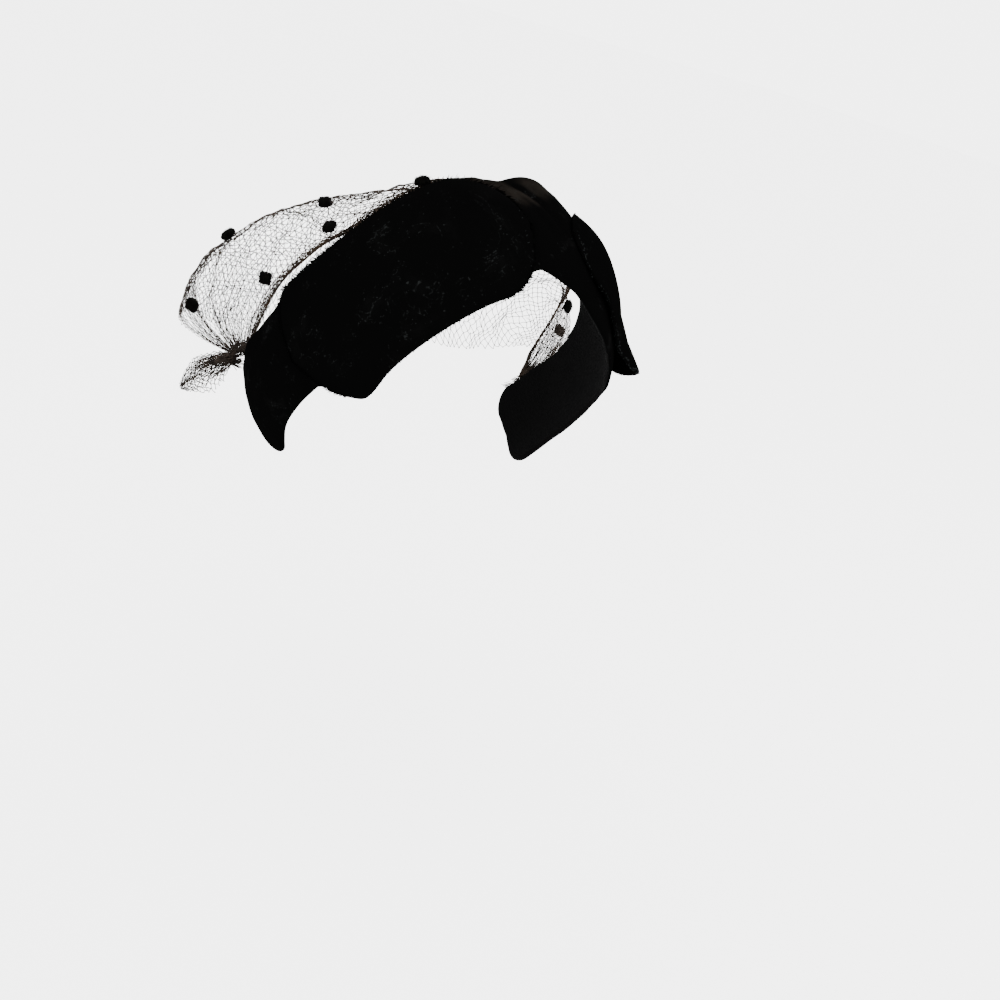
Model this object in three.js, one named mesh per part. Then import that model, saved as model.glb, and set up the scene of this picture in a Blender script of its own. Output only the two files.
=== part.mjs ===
// A velvet bandeau hat: an open headband of stiffened velvet with two wide wings that
// meet near its front centre, and a puff of dotted veiling behind it, gathered at both ends.
// Units are millimetres, +Z up, the face looks along -Y and the wearer's left is +X.
// The origin is where the crown of the head bears on the inside of the band, in the plane X = 0.
import * as THREE from 'three';

// ---- Driving dimensions ----------------------------------------------------

// The head form that the band follows: an ellipsoid whose own frame is tipped back with the band.
const HEAD_HALF_WIDTH = 78.5;
const HEAD_HALF_DEPTH = 87.5;
const HEAD_HALF_HEIGHT = 75;
const BAND_TILT = 58;

const CLOTH = 2.2;
const BAND_WALL = 2.6;
const SEAT_GAP = 0.8;
const VEIL_WALL = 1.2;

// The seat, measured from the head form's centre: the highest point of the band's inner face.
const SEAT_HEIGHT = 84.1;
const SEAT_FORWARD = 9;

// Edges of the band: degrees round the head from the front centre, then degrees of
// latitude of the lower rim and of the upper edge. `puff` is how far the cloth swells off
// the form at mid width, and `stand` how far its upper edge stands off (mm).
const BAND_TABLE = [
  { round: 0, low: -11, high: 36, puff: 1.5, stand: 2.6 },
  { round: 14, low: -15.8, high: 35, puff: 1.5, stand: 2.5 },
  { round: 26, low: -21.8, high: 29.5, puff: 1.0, stand: 2.0 },
  { round: 45, low: -25.5, high: 21.5, puff: 0.6, stand: 1.0 },
  { round: 60, low: -26, high: 17, puff: 0.5, stand: 1.0 },
  { round: 75, low: -22, high: 13, puff: 0.5, stand: 2.0 },
  { round: 90, low: -20, high: 12.5, puff: 1.0, stand: 3.0 },
  { round: 106, low: -18.5, high: 15, puff: 2.5, stand: 5.5 },
  { round: 122, low: -20.5, high: 15, puff: 2.0, stand: 6.0 },
];
const BAND_END = 122;
const BAND_CORNER = { reach: 7, depth: 9 };

// The soft swell of the bare velvet that shows between the two wings.
const SWELL = { round: 19, halfWidth: 17, height: 7.6 };

// Outline of each wing: fraction of its length from the front, latitude of the lower and
// upper edge, and how far the wing stands off the band at mid width and at the lower edge (mm).
// A corner is how far along the wing it reaches and how far it eats into the edge (degrees).
const RIGHT_WING = {
  side: -1,
  front: 3.5,
  rear: 79,
  table: [
    { along: 0, low: -19.5, high: 28, belly: 1.5, lip: 1 },
    { along: 0.2, low: -22.3, high: 27, belly: 4, lip: 1.5 },
    { along: 0.43, low: -26.6, high: 22, belly: 5, lip: 1.5 },
    { along: 0.68, low: -31, high: 16, belly: 4, lip: 2.5 },
    { along: 0.82, low: -34, high: 14, belly: 2.5, lip: 4 },
    { along: 0.9, low: -29.5, high: 13, belly: 2, lip: 5 },
    { along: 1, low: -16, high: 12.5, belly: 1.5, lip: 6 },
  ],
  frontLow: { reach: 13, depth: 16 },
  frontHigh: { reach: 24, depth: 24 },
  rearLow: { reach: 4, depth: 4 },
  rearHigh: { reach: 6, depth: 2.5 },
};
const LEFT_WING = {
  side: 1,
  front: 16,
  rear: 76,
  table: [
    { along: 0, low: -11.5, high: 19.5, belly: 0.8, lip: 0.2 },
    { along: 0.21, low: -13, high: 21.6, belly: 3.4, lip: 0.4 },
    { along: 0.39, low: -20, high: 20, belly: 2.3, lip: 0.3 },
    { along: 0.5, low: -21.8, high: 18, belly: 0.2, lip: 0.3 },
    { along: 0.64, low: -22, high: 16, belly: 0, lip: 5 },
    { along: 0.8, low: -19, high: 15, belly: 0.8, lip: 10.8 },
    { along: 1, low: -13.5, high: 14, belly: 1.5, lip: 5 },
  ],
  frontLow: { reach: 14, depth: 17 },
  frontHigh: { reach: 26, depth: 16 },
  rearLow: { reach: 15, depth: 7 },
  rearHigh: { reach: 8, depth: 4 },
};

// The puff of veiling turns about a line through its two gathers, from the band's upper
// edge over the crown. `share` runs from its middle to a gather; `out` is the distance
// from the plane X = 0 and `reach` the distance from that line (mm).
const VEIL_TABLE = [
  { share: 0.0, out: 0, reach: 88 },
  { share: 0.3, out: 38, reach: 80 },
  { share: 0.5, out: 64, reach: 71 },
  { share: 0.65, out: 83, reach: 58 },
  { share: 0.78, out: 97, reach: 44 },
  { share: 0.88, out: 102, reach: 28 },
  { share: 0.95, out: 94, reach: 14 },
  { share: 1.0, out: 81.5, reach: 4 },
];
// Where the veiling starts: degrees above the band's upper edge, by degrees round the head.
// Toward each gather it leaves a bare strip beside the band, and there it lies close on the head.
const VEIL_ROOT_TABLE = [
  { round: 0, rise: 0.9 },
  { round: 50, rise: 0.9 },
  { round: 60, rise: 5.0 },
  { round: 70, rise: 8.0 },
  { round: 80, rise: 10.0 },
  { round: 90, rise: 9.5 },
  { round: 100, rise: 6.0 },
  { round: 108, rise: 0.9 },
];
const VEIL_ROOT_CLOSE = 5;
const VEIL_ROOT_LIFT = 1.4;
// Share of the way back over which the veiling leaves its root, and how late it swells sideways.
const VEIL_LOOSE = 0.34;
const VEIL_OUT_LATE = 2.5;
const VEIL_SINK = 0.36;
const VEIL_CLEARANCE = 0.9;
const VEIL_END = 110;
const VEIL_BACK_ANGLE = { middle: 122, gather: 86 };
const VEIL_RUFFLES = 9;
const VEIL_RUFFLE_DEPTH = 2.2;
const GATHER_BACK = 33;
const GATHER_RISE = 20;

// The tuft of loose veiling beyond each gather: distance along it, half width across, half thickness.
const TUFT_START = { out: 82.3, back: 34.5, rise: 20.4 };
const TUFT_LENGTH = 27;
const TUFT_DIRECTION = { out: 0.52, back: 0.85, rise: 0.01 };
const TUFT_TABLE = [
  { along: 0, width: 4.5, depth: 1.8 },
  { along: 0.2, width: 7, depth: 3 },
  { along: 0.5, width: 8.2, depth: 3.4 },
  { along: 0.8, width: 4.8, depth: 2.2 },
  { along: 1, width: 1.3, depth: 1 },
];

// Chenille dots, one row each: place on the veil across (0 right, 1 left) and back (0 to 1),
// and how far the dot is turned in its own plane (degrees).
const DOT_SIZE = 5.6;
const DOT_THICKNESS = 2.4;
const DOT_GAP = 0.7;
const DOT_TABLE = [
  { across: 0.05, back: 0.35, turn: 20 },
  { across: 0.115, back: 0.12, turn: 65 },
  { across: 0.152, back: 0.33, turn: 10 },
  { across: 0.165, back: 0.95, turn: 60 },
  { across: 0.24, back: 0.09, turn: 20 },
  { across: 0.28, back: 0.235, turn: 50 },
  { across: 0.32, back: 0.81, turn: 15 },
  { across: 0.378, back: 0.49, turn: 30 },
  { across: 0.385, back: 0.035, turn: 10 },
  { across: 0.4, back: 0.88, turn: 45 },
  { across: 0.53, back: 0.66, turn: 70 },
  { across: 0.6, back: 0.17, turn: 5 },
  { across: 0.64, back: 0.46, turn: 40 },
  { across: 0.7, back: 0.82, turn: 25 },
  { across: 0.76, back: 0.24, turn: 55 },
  { across: 0.8, back: 0.58, turn: 10 },
  { across: 0.88, back: 0.2, turn: 35 },
  { across: 0.92, back: 0.62, turn: 65 },
];

// ---- Small helpers -----------------------------------------------------------

const toRadians = THREE.MathUtils.degToRad;

/** Smooth value of one column of a table at `x`, with monotone Hermite pieces. */
function column(table, key, value, x) {
  const last = table.length - 1;
  if (x <= table[0][key]) return table[0][value];
  if (x >= table[last][key]) return table[last][value];
  let i = 0;
  while (x > table[i + 1][key]) i += 1;
  const slope = (j) => (table[j + 1][value] - table[j][value]) / (table[j + 1][key] - table[j][key]);
  const tangent = (j) => {
    if (j === 0 || j === last) return 0;
    const a = slope(j - 1);
    const b = slope(j);
    return a * b <= 0 ? 0 : (2 * a * b) / (a + b);
  };
  const width = table[i + 1][key] - table[i][key];
  const t = (x - table[i][key]) / width;
  const m0 = i === 0 ? slope(0) : tangent(i);
  const m1 = i + 1 === last ? slope(last - 1) : tangent(i + 1);
  const h00 = (1 + 2 * t) * (1 - t) * (1 - t);
  const h10 = t * (1 - t) * (1 - t);
  const h01 = t * t * (3 - 2 * t);
  const h11 = t * t * (t - 1);
  return h00 * table[i][value] + h10 * width * m0 + h01 * table[i + 1][value] + h11 * width * m1;
}

/** A point on the head form grown by `off`, in the form's own frame. */
function onForm(roundDeg, latDeg, off) {
  const a = toRadians(roundDeg);
  const b = toRadians(latDeg);
  return new THREE.Vector3(
    (HEAD_HALF_WIDTH + off) * Math.sin(a) * Math.cos(b),
    -(HEAD_HALF_DEPTH + off) * Math.cos(a) * Math.cos(b),
    (HEAD_HALF_HEIGHT + off) * Math.sin(b),
  );
}

/** How far a rounded corner eats into an edge: `depth` at the end, nothing beyond `reach`. */
function cornerBite(distance, { reach, depth }) {
  if (distance >= reach) return 0;
  const t = 1 - distance / reach;
  return depth * (1 - Math.sqrt(Math.max(0, 1 - t * t)));
}

/**
 * A closed wall from a sheet: `point(u, v, side)` gives the inner (0) and outer (1) face,
 * and four narrow rims join them along the sheet's border.
 */
function wall(uSteps, vSteps, point) {
  const positions = [];
  const index = [];
  const stride = (uSteps + 1) * (vSteps + 1);
  for (const side of [0, 1]) {
    for (let i = 0; i <= uSteps; i += 1) {
      for (let j = 0; j <= vSteps; j += 1) {
        const p = point(i / uSteps, j / vSteps, side);
        positions.push(p.x, p.y, p.z);
      }
    }
  }
  const at = (side, i, j) => side * stride + i * (vSteps + 1) + j;
  const quad = (a, b, c, d) => index.push(a, b, c, a, c, d);
  for (let i = 0; i < uSteps; i += 1) {
    for (let j = 0; j < vSteps; j += 1) {
      quad(at(1, i, j), at(1, i + 1, j), at(1, i + 1, j + 1), at(1, i, j + 1));
      quad(at(0, i, j), at(0, i, j + 1), at(0, i + 1, j + 1), at(0, i + 1, j));
    }
    quad(at(0, i, 0), at(0, i + 1, 0), at(1, i + 1, 0), at(1, i, 0));
    quad(at(0, i, vSteps), at(1, i, vSteps), at(1, i + 1, vSteps), at(0, i + 1, vSteps));
  }
  for (let j = 0; j < vSteps; j += 1) {
    quad(at(0, 0, j), at(1, 0, j), at(1, 0, j + 1), at(0, 0, j + 1));
    quad(at(0, uSteps, j), at(0, uSteps, j + 1), at(1, uSteps, j + 1), at(1, uSteps, j));
  }
  const geometry = new THREE.BufferGeometry();
  geometry.setAttribute('position', new THREE.Float32BufferAttribute(positions, 3));
  geometry.setIndex(index);
  return geometry;
}

// ---- Materials ---------------------------------------------------------------

const velvet = () => new THREE.MeshStandardMaterial({ color: 0x0a0a0c, roughness: 0.9, metalness: 0 });
const chenille = () => new THREE.MeshStandardMaterial({ color: 0x0c0b0b, roughness: 0.95, metalness: 0 });
const netting = () => new THREE.MeshStandardMaterial({ color: 0x2a2522, roughness: 0.8, metalness: 0 });

// ---- Band --------------------------------------------------------------------

const bandLow = (round) => column(BAND_TABLE, 'round', 'low', Math.abs(round));
const bandHigh = (round) => column(BAND_TABLE, 'round', 'high', Math.abs(round));

/** Offset of the band's outer face from the head form, fullest at mid width and at the top. */
function bandOffset(round, lat) {
  const low = bandLow(round);
  const high = bandHigh(round);
  const t = THREE.MathUtils.clamp((lat - low) / (high - low), 0, 1);
  const puff = column(BAND_TABLE, 'round', 'puff', Math.abs(round));
  const stand = column(BAND_TABLE, 'round', 'stand', Math.abs(round));
  const near = THREE.MathUtils.clamp(1 - Math.abs(round - SWELL.round) / SWELL.halfWidth, 0, 1);
  const swell = SWELL.height * near * near * (3 - 2 * near);
  return puff * Math.sin(Math.PI * t) + (stand + swell) * t * t;
}

function bandGeometry() {
  return wall(64, 8, (u, v, side) => {
    const round = BAND_END * (2 * u - 1);
    const fromEnd = BAND_END - Math.abs(round);
    const bite = cornerBite(fromEnd, BAND_CORNER);
    const low = bandLow(round) + bite;
    const high = bandHigh(round) - bite;
    const lat = THREE.MathUtils.lerp(low, high, v);
    return onForm(round, lat, bandOffset(round, lat) - (side === 0 ? BAND_WALL : 0));
  });
}

// ---- Wings -------------------------------------------------------------------

function wingGeometry(wing) {
  const value = (key, along) => column(wing.table, 'along', key, along);
  const length = wing.rear - wing.front;
  const geometry = wall(26, 12, (u, v, side) => {
    const along = u;
    const fromFront = along * length;
    const fromRear = (1 - along) * length;
    const lowBite = cornerBite(fromFront, wing.frontLow) + cornerBite(fromRear, wing.rearLow);
    const highBite = cornerBite(fromFront, wing.frontHigh) + cornerBite(fromRear, wing.rearHigh);
    const low = value('low', along) + lowBite;
    const high = value('high', along) - highBite;
    const lat = THREE.MathUtils.lerp(low, high, v);
    const round = wing.side * (wing.front + fromFront);
    const belly = value('belly', along) * Math.sin(Math.PI * v);
    const lip = value('lip', along) * (1 - v) * (1 - v);
    const off = bandOffset(round, lat) + SEAT_GAP + belly + lip + (side === 0 ? 0 : CLOTH);
    return onForm(round, lat, off);
  });
  if (wing.side < 0) {
    const order = geometry.getIndex().array;
    for (let i = 0; i < order.length; i += 3) [order[i + 1], order[i + 2]] = [order[i + 2], order[i + 1]];
  }
  return geometry;
}

// ---- Veiling -----------------------------------------------------------------

/** Where the veiling starts: at the band's upper edge, or on the head beside it. */
function veilRoot(round) {
  const rise = column(VEIL_ROOT_TABLE, 'round', 'rise', Math.abs(round));
  const close = THREE.MathUtils.clamp((rise - VEIL_ROOT_TABLE[0].rise) / VEIL_ROOT_CLOSE, 0, 1);
  const off = THREE.MathUtils.lerp(bandOffset(round, 90) - BAND_WALL / 2, VEIL_ROOT_LIFT, close);
  return onForm(round, bandHigh(round) + rise, off);
}

/** A point of the veil's middle face: `u` from the right gather to the left, `v` from the band back. */
function veilPoint(u, v) {
  const round = VEIL_END * (2 * u - 1);
  const edge = veilRoot(round);
  const share = Math.abs(2 * u - 1);
  const startAngle = Math.atan2(edge.z - GATHER_RISE, GATHER_BACK - edge.y);
  const backAngle = THREE.MathUtils.lerp(
    VEIL_BACK_ANGLE.middle,
    VEIL_BACK_ANGLE.gather,
    THREE.MathUtils.smoothstep(share, 0.5, 1),
  );
  const angle = THREE.MathUtils.lerp(startAngle, toRadians(backAngle), v);
  const ruffle = VEIL_RUFFLE_DEPTH * Math.sin(Math.PI * VEIL_RUFFLES * v) * Math.sqrt(share);
  const reach = column(VEIL_TABLE, 'share', 'reach', share);
  const settled = reach * (1 - VEIL_SINK * v * v);
  const radius = settled + ruffle * Math.min(1, reach / 40);
  const puffed = new THREE.Vector3(
    Math.sign(u - 0.5) * column(VEIL_TABLE, 'share', 'out', share),
    GATHER_BACK - radius * Math.cos(angle),
    GATHER_RISE + radius * Math.sin(angle),
  );
  const loose = Math.sin((Math.PI / 2) * Math.min(1, v / VEIL_LOOSE));
  const out = THREE.MathUtils.lerp(edge.x, puffed.x, loose ** VEIL_OUT_LATE);
  return clearOfHead(edge.lerp(puffed, loose).setX(out));
}

/** Pushes a point that falls inside the head form out until the veiling just clears it. */
function clearOfHead(point) {
  const size = new THREE.Vector3(HEAD_HALF_WIDTH, HEAD_HALF_DEPTH, HEAD_HALF_HEIGHT).addScalar(VEIL_CLEARANCE);
  const inside = point.clone().divide(size).length();
  return inside < 1 ? point.divideScalar(inside) : point;
}

/** The veil's unit normal, pointing away from the head. */
function veilNormal(u, v) {
  const step = 0.004;
  const along = veilPoint(Math.min(1, u + step), v).sub(veilPoint(Math.max(0, u - step), v));
  const across = veilPoint(u, Math.min(1, v + step)).sub(veilPoint(u, Math.max(0, v - step)));
  return along.cross(across).normalize();
}

function veilGeometry() {
  return wall(40, 16, (u, v, side) => {
    const half = (side === 0 ? -0.5 : 0.5) * VEIL_WALL;
    return veilPoint(u, v).addScaledVector(veilNormal(u, v), half);
  });
}

/** The loose end of veiling that stands out beyond the gather on one side (-1 right, 1 left). */
function tuftGeometry(side) {
  const around = 10;
  const rings = 10;
  const positions = [];
  const index = [];
  const direction = new THREE.Vector3(side * TUFT_DIRECTION.out, TUFT_DIRECTION.back, TUFT_DIRECTION.rise);
  direction.normalize();
  const widthAxis = new THREE.Vector3(side, 0, 0).cross(direction).normalize();
  const depthAxis = direction.clone().cross(widthAxis).normalize();
  const start = new THREE.Vector3(side * TUFT_START.out, TUFT_START.back, TUFT_START.rise);
  const axisPoint = (along) => start.clone().addScaledVector(direction, along * TUFT_LENGTH);
  for (let i = 0; i <= rings; i += 1) {
    const along = i / rings;
    for (let j = 0; j < around; j += 1) {
      const a = (2 * Math.PI * j) / around;
      const p = axisPoint(along)
        .addScaledVector(widthAxis, column(TUFT_TABLE, 'along', 'width', along) * Math.cos(a))
        .addScaledVector(depthAxis, column(TUFT_TABLE, 'along', 'depth', along) * Math.sin(a));
      positions.push(p.x, p.y, p.z);
    }
  }
  const startCentre = (rings + 1) * around;
  for (const end of [axisPoint(0), axisPoint(1)]) positions.push(end.x, end.y, end.z);
  for (let j = 0; j < around; j += 1) {
    const next = (j + 1) % around;
    for (let i = 0; i < rings; i += 1) {
      const [a, b] = [i * around + j, i * around + next];
      index.push(a, b, b + around, a, b + around, a + around);
    }
    index.push(startCentre, next, j);
    index.push(startCentre + 1, rings * around + j, rings * around + next);
  }
  const geometry = new THREE.BufferGeometry();
  geometry.setAttribute('position', new THREE.Float32BufferAttribute(positions, 3));
  geometry.setIndex(index);
  return geometry;
}

/** The veil's greatest height over its own tangent plane near (u, v), so that a dot clears it. */
function crownNear(u, v, normal) {
  const centre = veilPoint(u, v);
  const reach = 0.75 * DOT_SIZE;
  let height = 0;
  for (let du = -0.06; du <= 0.06; du += 0.005) {
    for (let dv = -0.1; dv <= 0.1; dv += 0.01) {
      const u2 = THREE.MathUtils.clamp(u + du, 0, 1);
      const v2 = THREE.MathUtils.clamp(v + dv, 0, 1);
      const offset = veilPoint(u2, v2).sub(centre);
      const rise = offset.dot(normal);
      const sideways = Math.sqrt(Math.max(0, offset.lengthSq() - rise * rise));
      if (sideways < reach) height = Math.max(height, rise);
    }
  }
  return height;
}

/** A square tuft of chenille that sits on the outside of the veil. */
function dotMesh(dot) {
  const normal = veilNormal(dot.across, dot.back);
  const crown = crownNear(dot.across, dot.back, normal);
  const lift = crown + VEIL_WALL / 2 + DOT_GAP + DOT_THICKNESS / 2;
  const mesh = new THREE.Mesh(new THREE.BoxGeometry(DOT_SIZE, DOT_SIZE, DOT_THICKNESS), chenille());
  mesh.quaternion.setFromUnitVectors(new THREE.Vector3(0, 0, 1), normal);
  mesh.rotateZ(toRadians(dot.turn));
  mesh.position.copy(veilPoint(dot.across, dot.back)).addScaledVector(normal, lift);
  return mesh;
}

// ---- Assembly ----------------------------------------------------------------

const group = new THREE.Group();
const worn = new THREE.Group();
worn.rotation.x = -toRadians(BAND_TILT);
worn.position.set(0, SEAT_FORWARD, -SEAT_HEIGHT);
group.add(worn);

function addPiece(name, geometry, material) {
  const mesh = new THREE.Mesh(geometry, material);
  mesh.name = name;
  worn.add(mesh);
}

addPiece('bandeau_band', bandGeometry(), velvet());
addPiece('wing_right', wingGeometry(RIGHT_WING), velvet());
addPiece('wing_left', wingGeometry(LEFT_WING), velvet());
addPiece('veil', veilGeometry(), netting());
addPiece('veil_tuft_right', tuftGeometry(-1), netting());
addPiece('veil_tuft_left', tuftGeometry(1), netting());
DOT_TABLE.forEach((dot, i) => {
  const mesh = dotMesh(dot);
  mesh.name = `dot_${String(i + 1).padStart(2, '0')}`;
  worn.add(mesh);
});

export default group;
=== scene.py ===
"""Looks of a black velvet bandeau hat: band, two wings, a puff of dotted veiling and its tufts.

Lengths are metres and angles are degrees unless a name says otherwise. The origin is where the
crown of the head bears on the inside of the band; +Z is up, the hat faces -Y, the wearer's left
is +X. `round` is the angle round the head from the front centre and `lat` the height angle above
the band's own middle plane.
"""

from __future__ import annotations

import logging
import math
from collections.abc import Iterator
from dataclasses import dataclass, field
from enum import Enum

import bpy
import numpy as np
from mathutils import Matrix, Vector

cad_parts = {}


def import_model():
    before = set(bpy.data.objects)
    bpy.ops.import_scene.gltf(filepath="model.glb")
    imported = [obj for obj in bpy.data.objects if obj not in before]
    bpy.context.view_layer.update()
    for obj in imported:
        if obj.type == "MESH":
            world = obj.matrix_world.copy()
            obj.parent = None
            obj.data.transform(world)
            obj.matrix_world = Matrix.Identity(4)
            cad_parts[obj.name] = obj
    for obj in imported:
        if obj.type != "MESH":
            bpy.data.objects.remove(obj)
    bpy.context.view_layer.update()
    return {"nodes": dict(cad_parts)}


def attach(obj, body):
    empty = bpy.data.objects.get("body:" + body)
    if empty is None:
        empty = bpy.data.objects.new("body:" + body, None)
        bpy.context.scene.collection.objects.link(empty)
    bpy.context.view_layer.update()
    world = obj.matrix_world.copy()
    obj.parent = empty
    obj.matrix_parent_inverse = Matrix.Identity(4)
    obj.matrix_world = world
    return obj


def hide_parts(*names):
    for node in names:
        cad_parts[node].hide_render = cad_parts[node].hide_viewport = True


LOG = logging.getLogger("bandeau_hat")
MM = 0.001
BODY = "root"
THREAD_SIDES = 3
TUBE_HINT = (0.31, 0.52, 0.79)  # no thread runs along this direction
HAIR_HINT = (0.3, 0.5, 0.8)  # no bristle or fibre stands along this direction
WAVE_PERIOD = 0.31  # a wave texture of scale 1 repeats over this length
COLOUR_MIX = (0, 6, 7)  # a mix node's sockets for the share and the two colours


class Side(Enum):
    """Which side of the wearer a piece is on; the value is the sign of its X."""

    RIGHT = -1
    LEFT = 1


class Slot(Enum):
    """Material slots of the record; no piece here takes its finish from them."""

    VELVET = "velvet"
    NET = "veiling_net"
    CHENILLE = "chenille"


# ---- Small shared tools ------------------------------------------------------


def linear_colour(hex_code: str) -> tuple[float, float, float, float]:
    """Turns an sRGB hex colour into linear RGBA.

    Args:
        hex_code: six hex digits, such as "1c1714".

    Returns:
        The linear colour with alpha 1.
    """
    parts = [int(hex_code[i : i + 2], 16) / 255 for i in (0, 2, 4)]
    linear = [c / 12.92 if c <= 0.04045 else ((c + 0.055) / 1.055) ** 2.4 for c in parts]
    return (*linear, 1.0)


def add_node(
    tree: bpy.types.NodeTree,
    kind: str,
    settings: dict[str, object] | None = None,
    inputs: dict[str | int, object] | None = None,
) -> bpy.types.Node:
    """Adds one shader node with its settings, values and links.

    Args:
        tree: the node tree to add to.
        kind: the node's type name.
        settings: attributes to set on the node.
        inputs: socket name or index to a value, or to an output socket that is linked to it.

    Returns:
        The new node.
    """
    node = tree.nodes.new(kind)
    for name, value in (settings or {}).items():
        setattr(node, name, value)
    for key, value in (inputs or {}).items():
        if isinstance(value, bpy.types.NodeSocket):
            tree.links.new(value, node.inputs[key])
        else:
            node.inputs[key].default_value = value
    return node


def blank_material(name: str) -> tuple[bpy.types.Material, bpy.types.NodeTree]:
    """Makes a material whose node tree is still empty.

    Args:
        name: the material's name.

    Returns:
        The material and its node tree.
    """
    material = bpy.data.materials.new(name)
    material.use_nodes = True
    material.node_tree.nodes.clear()
    return material, material.node_tree


def eased(xs: np.ndarray, ys: np.ndarray, x: np.ndarray) -> np.ndarray:
    """Reads a table smoothly, with monotone Hermite pieces between its rows.

    Args:
        xs: rising keys of the rows.
        ys: values of the rows.
        x: where to read.

    Returns:
        The values at `x`, held flat beyond the first and last row.
    """
    x = np.clip(np.asarray(x, float), xs[0], xs[-1])
    slopes = np.diff(ys) / np.diff(xs)
    tangents = np.empty(len(xs))
    tangents[0], tangents[-1] = slopes[0], slopes[-1]
    before, after = slopes[:-1], slopes[1:]
    total = before + after
    both = before * after > 0
    tangents[1:-1] = np.where(both, 2 * before * after / np.where(both, total, 1), 0)
    i = np.clip(np.searchsorted(xs, x, side="right") - 1, 0, len(xs) - 2)
    width = xs[i + 1] - xs[i]
    t = (x - xs[i]) / width
    return (
        (1 + 2 * t) * (1 - t) ** 2 * ys[i]
        + t * (1 - t) ** 2 * width * tangents[i]
        + t * t * (3 - 2 * t) * ys[i + 1]
        + t * t * (t - 1) * width * tangents[i + 1]
    )


def eased_path(stops: np.ndarray, count: int) -> np.ndarray:
    """Runs a smooth path of `count` points through a few stops, N by 3."""
    ticks = np.linspace(0, len(stops) - 1, count)
    return np.stack([eased(np.arange(len(stops)), stops[:, k], ticks) for k in range(3)], -1)


def smooth_step(x: np.ndarray, low: float, high: float) -> np.ndarray:
    """Rises smoothly from 0 at `low` to 1 at `high`."""
    t = np.clip((np.asarray(x, float) - low) / (high - low), 0, 1)
    return t * t * (3 - 2 * t)


def unit(vectors: np.ndarray) -> np.ndarray:
    """Scales each vector of an array to length 1."""
    return vectors / np.maximum(np.linalg.norm(vectors, axis=-1, keepdims=True), 1e-12)


def ring_round(along: np.ndarray, hint: tuple[float, float, float]) -> np.ndarray:
    """Spokes of a ring that stands square to each direction.

    Args:
        along: unit directions, N by 3.
        hint: a direction that none of them is parallel to.

    Returns:
        Unit spokes, N by THREAD_SIDES by 3.
    """
    first = unit(np.cross(along, np.array(hint)))
    second = np.cross(along, first)
    angles = np.arange(THREAD_SIDES) * 2 * math.pi / THREAD_SIDES
    return first[:, None] * np.cos(angles)[:, None] + second[:, None] * np.sin(angles)[:, None]


def diamond_strands(columns: int, rows: int) -> Iterator[tuple[np.ndarray, np.ndarray]]:
    """Follows the strands that cross to make a net of diamonds, four steps to a diamond.

    Args:
        columns: how many diamonds long the net is.
        rows: how many diamonds wide it is.

    Yields:
        Places along and across the net, in diamonds, of one strand's points.
    """
    across = np.arange(0, rows + 0.25, 0.25)
    for lean in (-1, 1):
        for k in range(-rows, columns + rows + 1):
            along = k + lean * across - (rows if lean > 0 else 0)
            inside = (along >= 0) & (along <= columns)
            if inside.sum() >= 3:
                yield along[inside], across[inside]


@dataclass(frozen=True)
class Corner:
    """A rounded corner: how far it reaches along the piece and how far it eats in, in degrees."""

    reach: float
    depth: float

    def bite(self, distance: np.ndarray) -> np.ndarray:
        """How far the corner eats into the edge at a distance from the piece's end."""
        t = np.clip(1 - distance / self.reach, 0, 1)
        return self.depth * (1 - np.sqrt(1 - t * t))


@dataclass(frozen=True)
class Table:
    """A short table with named columns, read smoothly along its first column."""

    columns: tuple[str, ...]
    rows: tuple[tuple[float, ...], ...]

    def at(self, column: str, x: np.ndarray) -> np.ndarray:
        """Values of one column at `x` in the first column."""
        table = np.array(self.rows, float)
        return eased(table[:, 0], table[:, self.columns.index(column)], x)


@dataclass
class SoftNoise:
    """Smooth seeded noise in space: a sum of plane waves about `grain` metres long."""

    grain: float
    seed: int
    waves: int = 14

    def at(self, points: np.ndarray) -> np.ndarray:
        """Reads the noise.

        Args:
            points: places, N by 3 or more axes before the last.

        Returns:
            A value from about -1 to 1 for each place.
        """
        rng = np.random.default_rng(self.seed)
        turns = unit(rng.normal(size=(self.waves, 3))) * (2 * math.pi / self.grain)
        turns *= rng.uniform(0.6, 1.5, (self.waves, 1))
        phases = rng.uniform(0, 2 * math.pi, self.waves)
        waves = np.sin(np.asarray(points, float) @ turns.T + phases)
        return waves.sum(axis=-1) / math.sqrt(self.waves)


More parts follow.
